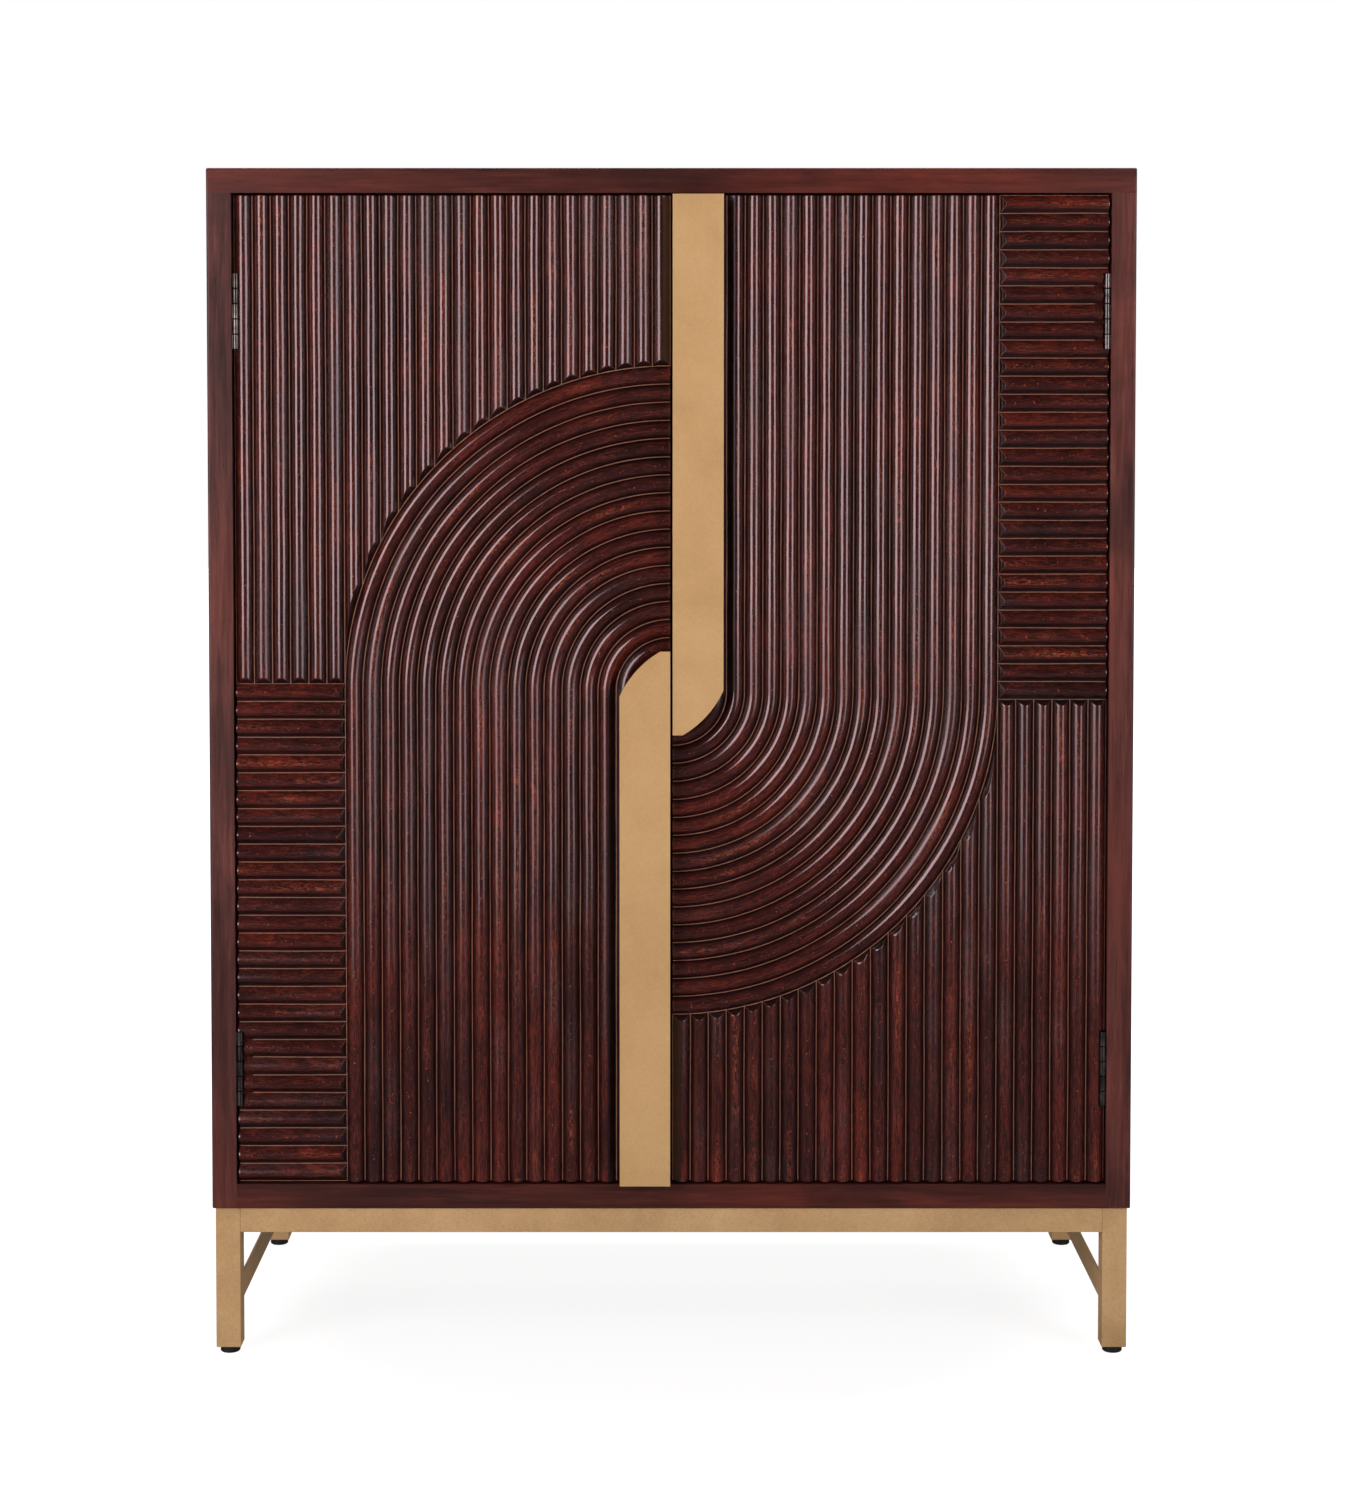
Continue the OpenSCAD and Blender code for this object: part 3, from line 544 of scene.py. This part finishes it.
def carvedMaterial(look):
    material, tree, shader = startMaterial(
        "carvedMahogany",
        Coat_Weight=look["coat"],
        Coat_Roughness=look["coatRoughness"],
        Specular_IOR_Level=look["gloss"],
        Specular_Tint=look["tint"],
    )
    facts = {
        name: addNode(tree, "Attribute", attribute_type="GEOMETRY", attribute_name=name).outputs["Fac"]
        for name in ("groove", "across", "tone", "run")
    }
    spot = place(tree)
    # Grain runs along each ridge
    grain = ridgeSpot(tree, facts, look["grain"])
    streaks = cloud(tree, grain, 1.0, 5.0, 0.65, 0.6)
    fine = cloud(tree, grain, 3.4, 4.0, 0.7)
    clouds = cloud(tree, spot, look["cloudScale"], 3.0)
    body = sums(tree, "ADD", sums(tree, "MULTIPLY", streaks, 0.4), sums(tree, "MULTIPLY", fine, 0.4))
    body = sums(tree, "ADD", body, sums(tree, "MULTIPLY", clouds, 0.2))
    body = sums(tree, "ADD", body, between(tree, facts["tone"], 0.0, 1.0, -0.03, 0.03))
    colour = ramp(tree, body, [(0.4, look["dark"]), (0.51, look["body"]), (0.66, look["light"])])
    # Painted shade low on the flanks, on the sloped ends and beside the pulls; wear and nicks along the
    # crests
    worn = between(tree, cloud(tree, ridgeSpot(tree, facts, look["wear"]), 1.0, 3.0), 0.54, 0.66)
    fromCrest = sums(tree, "ABSOLUTE", facts["across"])
    low = between(tree, fromCrest, 0.45, 0.9, 0.0, look["deepShare"])
    colour = blendColours(tree, low, colour, look["deep"])
    onCrest = between(tree, fromCrest, 0.08, 0.4, 1.0, 0.0)
    speck = cloud(tree, spot, look["speckScale"], 3.0)
    broken = between(tree, speck, 0.42, 0.56, 0.15, 1.0)
    broken = sums(tree, "MULTIPLY", between(tree, fine, 0.44, 0.58), broken)
    worn = sums(tree, "MULTIPLY", sums(tree, "MULTIPLY", worn, onCrest), broken)
    worn = sums(tree, "MULTIPLY", worn, look["wornShare"])
    nicks = sums(tree, "MULTIPLY", between(tree, speck, 0.66, 0.7), onCrest)
    worn = sums(tree, "MAXIMUM", worn, sums(tree, "MULTIPLY", nicks, look["nickShare"]))
    colour = blendColours(tree, worn, colour, look["rubbed"])
    inGroove = between(tree, facts["groove"], 0.88, 1.0)
    pale = sums(tree, "MULTIPLY", inGroove, between(tree, fine, 0.3, 0.6, 0.45, 1.0))
    pale = sums(tree, "MULTIPLY", pale, between(tree, facts["across"], -0.3, 0.3, 0.5, 1.0))
    colour = blendColours(tree, pale, colour, look["groove"])
    tree.links.new(colour, shader.inputs["Base Color"])
    # The polish has worn off in places, and never reached the grooves
    rough = between(tree, fine, 0.35, 0.65, *look["roughness"])
    sheen = cloud(tree, ridgeSpot(tree, facts, look["sheen"]), 1.0, 3.0)
    rough = sums(tree, "ADD", rough, between(tree, sheen, 0.48, 0.62, 0.0, look["dull"]))
    # Rougher where the painted shade is full
    rough = sums(tree, "ADD", rough, between(tree, fromCrest, 0.96, 1.0, 0.0, look["stainRough"]))
    rough = sums(tree, "ADD", rough, sums(tree, "MULTIPLY", pale, look["grooveRough"]))
    tree.links.new(rough, shader.inputs["Roughness"])
    roughen(tree, shader, sums(tree, "ADD", fine, streaks), look["bump"], 0.25 * mm)
    return material


carvedWood = carvedMaterial(carvedLook)
for side in sides:
    carvedDoor(side, carvedWood)
    print("carved", side, "door")

# Finishes of the plain wood
mahogany = {
    "grain": "z",
    "stretch": 0.055,  # along the grain, against 1 across it
    "figureScale": 26.0,
    "figureShare": 0.4,  # of the broad figure; the fine streaks have the rest
    "streakScale": 190.0,
    "stops": (0.34, 0.5, 0.64),  # where the dark, body and light colours stand
    "patchScale": 3.0,
    "blotchScale": 9.0,
    "blotchShare": 0.55,  # how dark the stained blotches are
    "poreScale": 520.0,
    "dark": shade(44, 20, 18),
    "body": shade(86, 43, 38),
    "light": shade(116, 60, 51),
    "warm": shade(132, 62, 49),
    "patchShare": 0.6,
    "pore": shade(38, 19, 17),
    "poreShare": 0.7,
    "roughness": (0.34, 0.46),
    "coat": 0.05,
    "coatRoughness": 0.2,
    "gloss": 0.3,
    "bump": 0.08,
}
crosswise = dict(
    mahogany,
    grain="x",
    body=shade(71, 29, 23),
    light=shade(98, 41, 31),
    warm=shade(116, 42, 29),
)
inside = dict(
    mahogany,
    dark=shade(84, 45, 34),
    body=shade(110, 62, 46),
    light=shade(134, 80, 60),
    coat=0.1,
)
board = dict(inside, figureScale=12.0, bump=0.06, roughness=(0.42, 0.55))
beech = dict(
    mahogany,
    dark=shade(168, 122, 84),
    body=shade(190, 146, 104),
    light=shade(206, 166, 124),
    warm=shade(188, 138, 94),
    pore=shade(120, 82, 54),
    coat=0.0,
    roughness=(0.5, 0.62),
)


# Satin gold of the pulls and the base: a little uneven in tone and sheen
def goldMaterial(look):
    material, tree, shader = startMaterial(look["name"], Metallic=look["metallic"])
    spot = place(tree)
    tone = cloud(tree, spot, 7.0, 9.0, 0.68, 0.3)
    grain = cloud(tree, spot, 620.0, 3.0, 0.65)
    colour = ramp(tree, tone, [(0.3, look["dark"]), (0.5, look["body"]), (0.72, look["light"])])
    colour = blendColours(tree, between(tree, grain, 0.5, 0.7, 0.0, 0.55), colour, look["dark"])
    colour = blendColours(tree, between(tree, grain, 0.3, 0.45, 0.5, 0.0), colour, look["light"])
    tree.links.new(colour, shader.inputs["Base Color"])
    rough = between(tree, tone, 0.3, 0.7, *look["roughness"])
    rough = sums(tree, "ADD", rough, between(tree, grain, 0.3, 0.7, 0.0, 0.06))
    tree.links.new(rough, shader.inputs["Roughness"])
    roughen(tree, shader, grain, 0.08, 0.05 * mm)
    return material


pullLook = {
    "name": "satinGold",
    "metallic": 0.3,
    "dark": shade(197, 154, 102),
    "body": shade(209, 166, 113),
    "light": shade(218, 177, 125),
    "roughness": (0.42, 0.52),
}
baseLook = {
    "name": "dullGold",
    "metallic": 0.3,
    "dark": shade(178, 141, 96),
    "body": shade(202, 162, 113),
    "light": shade(218, 179, 131),
    "roughness": (0.44, 0.58),
}


# Bare metal with fine upright scratches
def metalMaterial(name, look):
    material, tree, shader = startMaterial(name, Metallic=1.0)
    tone = cloud(tree, place(tree), look["scale"], 4.0, 0.6, 0.4)
    scratch = cloud(tree, place(tree, (1.0, 1.0, 0.05)), look["scale"] * 14.0, 3.0, 0.6)
    worn = sums(tree, "ADD", sums(tree, "MULTIPLY", tone, 0.7), sums(tree, "MULTIPLY", scratch, 0.3))
    colour = ramp(tree, worn, [(0.38, look["dark"]), (0.62, look["light"])])
    rough = between(tree, scratch, 0.35, 0.65, *look["roughness"])
    tree.links.new(colour, shader.inputs["Base Color"])
    tree.links.new(rough, shader.inputs["Roughness"])
    roughen(tree, shader, scratch, 0.1, 0.08 * mm)
    return material, tree, shader, colour, rough


screwLook = {
    "dark": shade(150, 148, 144),
    "light": shade(196, 195, 190),
    "roughness": (0.28, 0.42),
    "scale": 80.0,
}
hingeLook = {
    "dark": shade(66, 58, 57),
    "light": shade(122, 112, 110),
    "roughness": (0.2, 0.36),
    "scale": 60.0,
    # painted shade in the gaps between the knuckles
    "joint": shade(14, 11, 10),
    "jointRough": 0.4,  # rougher by this
    "jointWidth": 1.3 * mm,
    "knuckles": 5,
    "barrel": 3.5 * mm,  # its radius, and a little more
}


# The hinges' bronze, with painted shade in the joints between the knuckles of the barrels
def hingeMaterial(look):
    material, tree, shader, colour, rough = metalMaterial("hingeBronze", look)
    x, y, z = addNode(tree, "SeparateXYZ", {0: place(tree)}).outputs
    step = hingeRoom["height"] / look["knuckles"]
    up = sums(tree, "ABSOLUTE", sums(tree, "SUBTRACT", z, doorMiddle))
    up = sums(tree, "SUBTRACT", up, hingeRoom["fromMiddle"] - hingeRoom["height"] / 2)
    share = sums(tree, "FRACT", sums(tree, "DIVIDE", up, step))
    toMiddle = sums(tree, "ABSOLUTE", sums(tree, "SUBTRACT", share, 0.5))
    edge = 0.5 - look["jointWidth"] / 2 / step
    joint = between(tree, toMiddle, edge - 0.01, edge + 0.01)
    pin = doorGap + doorWide - hingeRoom["inset"]
    fromPin = sums(tree, "SUBTRACT", sums(tree, "ABSOLUTE", x), pin)
    fromPin = sums(tree, "ABSOLUTE", fromPin)
    onBarrel = between(tree, fromPin, look["barrel"], look["barrel"] + 0.1 * mm, 1.0, 0.0)
    joint = sums(tree, "MULTIPLY", joint, onBarrel)
    colour = blendColours(tree, joint, colour, look["joint"])
    tree.links.new(colour, shader.inputs["Base Color"])
    rough = sums(tree, "ADD", rough, sums(tree, "MULTIPLY", joint, look["jointRough"]))
    tree.links.new(rough, shader.inputs["Roughness"])
    return material


plasticLook = {"dark": shade(14, 14, 15), "light": shade(34, 33, 32), "roughness": (0.38, 0.55)}


# Black moulded plastic, a little dusty
def plasticMaterial(look):
    material, tree, shader = startMaterial("blackPlastic")
    spot = place(tree)
    grain = cloud(tree, spot, 1600.0, 2.0, 0.6)
    dust = cloud(tree, spot, 40.0, 4.0, 0.6)
    colour = ramp(tree, dust, [(0.4, look["dark"]), (0.7, look["light"])])
    tree.links.new(colour, shader.inputs["Base Color"])
    tree.links.new(between(tree, dust, 0.35, 0.7, *look["roughness"]), shader.inputs["Roughness"])
    roughen(tree, shader, grain, 0.2, 0.08 * mm)
    return material


# Grain along z stands upright, along x lies across the cabinet, along y runs front to back
uprightBoards = woodMaterial("mahogany.z", mahogany)
crossBoards = woodMaterial("mahogany.x", crosswise)
insideWood = woodMaterial("insideWood.x", dict(inside, grain="x"))
insideDepth = woodMaterial("insideWood.y", dict(inside, grain="y"))
backBoard = woodMaterial("backBoard", board)
dowelWood = woodMaterial("dowelWood", beech)
gold = goldMaterial(pullLook)
baseGold = goldMaterial(baseLook)
bronze = hingeMaterial(hingeLook)
steel = metalMaterial("screwSteel", screwLook)[0]
blackPlastic = plasticMaterial(plasticLook)

slots = {part["node"]: part["material_slot"] for part in frame["record"]["subparts"]}
bodies = {node: nodes[node]["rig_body"] for node in nodes}


def pieceName(node):
    first, *rest = node.split("_")
    return first + "".join(word.capitalize() for word in rest or ["bodies"])


# The pulls reach nearly to the meeting edges of their doors, with a thin dark line left between them
pullEdge = {"inCad": 2 * mm, "shown": 1.2 * mm}


def widenPull(bm):
    for vert in bm.verts:
        if abs(vert.co.x) < pullEdge["inCad"] + 0.1 * mm:
            vert.co.x = math.copysign(pullEdge["shown"], vert.co.x)


easing = {
    "weld": 0.002 * mm,
    "flat": 0.6,  # degrees below which faces are joined into one
    "sharp": 34,  # degrees from which an edge is rounded
}


# A copy of a CAD node with its edges rounded over
def easedPiece(node, width, segments, material):
    bm = bmesh.new()
    bm.from_mesh(nodes[node].data)
    if node in ("pull_left", "pull_right"):
        widenPull(bm)
    bmesh.ops.remove_doubles(bm, verts=bm.verts, dist=easing["weld"])
    bmesh.ops.dissolve_limit(bm, angle_limit=math.radians(easing["flat"]), verts=bm.verts, edges=bm.edges)
    for face in bm.faces:
        face.smooth = True
    piece = newPiece(pieceName(node), bm, material)
    bevel = piece.modifiers.new("edges", "BEVEL")
    bevel.width = width * mm
    bevel.segments = segments
    bevel.limit_method = "ANGLE"
    bevel.angle_limit = math.radians(easing["sharp"])
    normals = piece.modifiers.new("normals", "WEIGHTED_NORMAL")
    normals.keep_sharp = True
    applyModifiers(piece)
    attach(piece, bodies[node])
    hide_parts(node)


# Node: rounding of its edges in millimetres, steps in the rounding, finish
roundings = {
    "top_panel": (0.5, 2, crossBoards),
    "bottom_panel": (0.5, 2, crossBoards),
    "side_panel_left": (0.8, 3, uprightBoards),
    "side_panel_right": (0.8, 3, uprightBoards),
    "door_left_core": (0.5, 2, uprightBoards),
    "door_right_core": (0.5, 2, uprightBoards),
    "middle_shelf": (1.2, 3, insideWood),
    "adjustable_shelf": (1.2, 3, insideWood),
    "stemware_rails": (1.0, 2, insideDepth),
    "bottle_rack_front": (1.5, 3, insideWood),
    "bottle_rack_rear": (1.5, 3, insideWood),
    "pull_left": (1.1, 3, gold),
    "pull_right": (1.1, 3, gold),
    "catches": (0.6, 2, blackPlastic),
    "base_tabs": (0.5, 2, baseGold),
    "hinge_frame_leaves": (0.3, 2, bronze),
    "hinge_leaves_left": (0.3, 2, bronze),
    "hinge_leaves_right": (0.3, 2, bronze),
}
for row in ("front", "rear"):
    roundings["rail_" + row] = (1.2, 3, baseGold)
    for side in sides:
        roundings[f"leg_{row}_{side}"] = (1.6, 3, baseGold)
for side in sides:
    roundings["rail_" + side] = (1.2, 3, baseGold)
    roundings["stretcher_" + side] = (0.6, 2, baseGold)
for node, (width, segments, material) in roundings.items():
    easedPiece(node, width, segments, material)
print("eased", len(roundings), "pieces")

# Nodes that stay as they come from the frame get their finish by their slot
kept = {
    "back_board": backBoard,
    "dowel_wood": dowelWood,
    "hinge_metal": bronze,
    "screw_steel": steel,
    "black_plastic": blackPlastic,
}
for node, piece in nodes.items():
    if not piece.hide_render:
        piece.data.materials.clear()
        piece.data.materials.append(kept[slots[node]])
print("finished the kept nodes")

# Studio: a pale floor that runs into white, two tall soft boxes, dimmer near the floor,
# one above and one behind
warm, cool, plain = (1.0, 0.94, 0.95), (0.97, 0.97, 1.0), (1.0, 1.0, 1.0)
studio = {
    "floor": shade(236, 236, 236),
    "floorRadius": 14,
    "floorRough": 0.7,
    "floorGlow": 1.39,  # strength of the white that covers the floor for the camera
    "floorWhite": 0.6,  # share of that white in the floor, at the cabinet
    "whiteFrom": 0.35,  # metres from the cabinet's middle where the floor runs on into white
    "whiteTo": 1.2,
    "floorGloss": 0.1,  # the floor as polished surfaces mirror it
    "fill": 0.2,  # the world's light on the cabinet
    "frontGloss": 0.05,  # what mirrors the dark side of the studio, behind the camera
    "backGloss": 0.8,
    # name, degrees round from the front, height, distance, height it is aimed at, size, watts, tint
    "boxes": (
        ("leftBox", -41, 1.4, 2.7, 1.4, (1.35, 1.8), 42, warm),
        ("leftSkirt", -41, 0.26, 2.7, 0.26, (1.35, 0.48), 5, warm),
        ("rightBox", 43, 1.4, 2.7, 1.4, (1.05, 1.8), 27, cool),
        ("rightSkirt", 43, 0.26, 2.7, 0.26, (1.05, 0.48), 3.2, cool),
        ("topBox", 0, 2.9, -0.35, 0.6, (2.4, 0.8), 30, plain),
        ("backBox", 180, 1.9, 2.9, 1.9, (2.2, 1.2), 34, plain),
    ),
}


def floorMaterial():
    material, tree, shader = startMaterial(
        "paleFloor", Base_Color=studio["floor"], Roughness=studio["floorRough"]
    )
    spot = addNode(tree, "TexCoord").outputs["Object"]
    away = addNode(tree, "VectorMath", {0: spot}, operation="LENGTH").outputs["Value"]
    fade = between(tree, away, studio["whiteFrom"], studio["whiteTo"], studio["floorWhite"], 1.0)
    rays = addNode(tree, "LightPath").outputs
    white = addNode(tree, "Emission", {"Strength": studio["floorGlow"]}).outputs[0]
    dim = addNode(tree, "Emission", {"Strength": studio["floorGloss"]}).outputs[0]
    lit = addNode(tree, "MixShader", {0: rays["Is Glossy Ray"], 1: shader.outputs[0], 2: dim}).outputs[0]
    seen = sums(tree, "MULTIPLY", fade, rays["Is Camera Ray"])
    mixed = addNode(tree, "MixShader", {0: seen, 1: lit, 2: white})
    output = next(node for node in tree.nodes if node.type == "OUTPUT_MATERIAL")
    tree.links.new(mixed.outputs[0], output.inputs["Surface"])
    return material


def addFloor():
    bm = bmesh.new()
    bmesh.ops.create_circle(bm, cap_ends=True, radius=studio["floorRadius"], segments=96)
    floor = newPiece("floor", bm, floorMaterial())


# The world: white to the camera, a weak fill on the cabinet, and dark in front of it in the polish
def addWorld():
    world = bpy.data.worlds.new("studio")
    bpy.context.scene.world = world
    world.use_nodes = True
    tree = world.node_tree
    back = tree.nodes["Background"]
    back.inputs["Color"].default_value = (1, 1, 1, 1)
    rays = addNode(tree, "LightPath").outputs
    toward = addNode(tree, "TexCoord").outputs["Generated"]
    toward = addNode(tree, "SeparateXYZ", {0: toward}).outputs["Y"]
    mirrored = between(tree, toward, -0.2, 0.5, studio["frontGloss"], studio["backGloss"])
    light = {0: rays["Is Glossy Ray"], 2: studio["fill"], 3: mirrored}
    light = addNode(tree, "Mix", light, data_type="FLOAT").outputs[0]
    light = {0: rays["Is Camera Ray"], 2: light, 3: 1.0}
    light = addNode(tree, "Mix", light, data_type="FLOAT").outputs[0]
    tree.links.new(light, back.inputs["Strength"])


def addBox(name, around, up, away, aimed, size, power, tint):
    lamp = bpy.data.lights.new(name, "AREA")
    lamp.shape = "RECTANGLE"
    lamp.size, lamp.size_y = size
    lamp.energy = power
    lamp.color = tint
    box = bpy.data.objects.new(name, lamp)
    bpy.context.scene.collection.objects.link(box)
    turn = math.radians(around)
    box.location = (away * math.sin(turn), -away * math.cos(turn), up)
    aim = Vector((0, 0, aimed)) - box.location
    box.rotation_euler = aim.to_track_quat("-Z", "Y").to_euler()


addFloor()
addWorld()
for box in studio["boxes"]:
    addBox(*box)

# The camera stands in front of the cabinet, a little left of its middle, and looks down a little
view = {
    "x": -10.5 * mm,
    "away": 2825 * mm,  # from the carved fronts
    "up": 962 * mm,
    "down": 2.3,  # degrees
    "lens": 67.67,
    "sensor": 36,
    "shift": (0.0107, -0.1536),
}
lens = bpy.data.cameras.new("camera")
lens.lens = view["lens"]
lens.sensor_width = view["sensor"]
lens.sensor_fit = "AUTO"
lens.shift_x, lens.shift_y = view["shift"]
camera = bpy.data.objects.new("camera", lens)
bpy.context.scene.collection.objects.link(camera)
camera.location = (view["x"], frontY - view["away"], view["up"])
camera.rotation_euler = (math.radians(90 - view["down"]), 0, 0)
bpy.context.scene.camera = camera
bpy.context.scene.view_settings.view_transform = "Standard"
print("studio and camera ready")
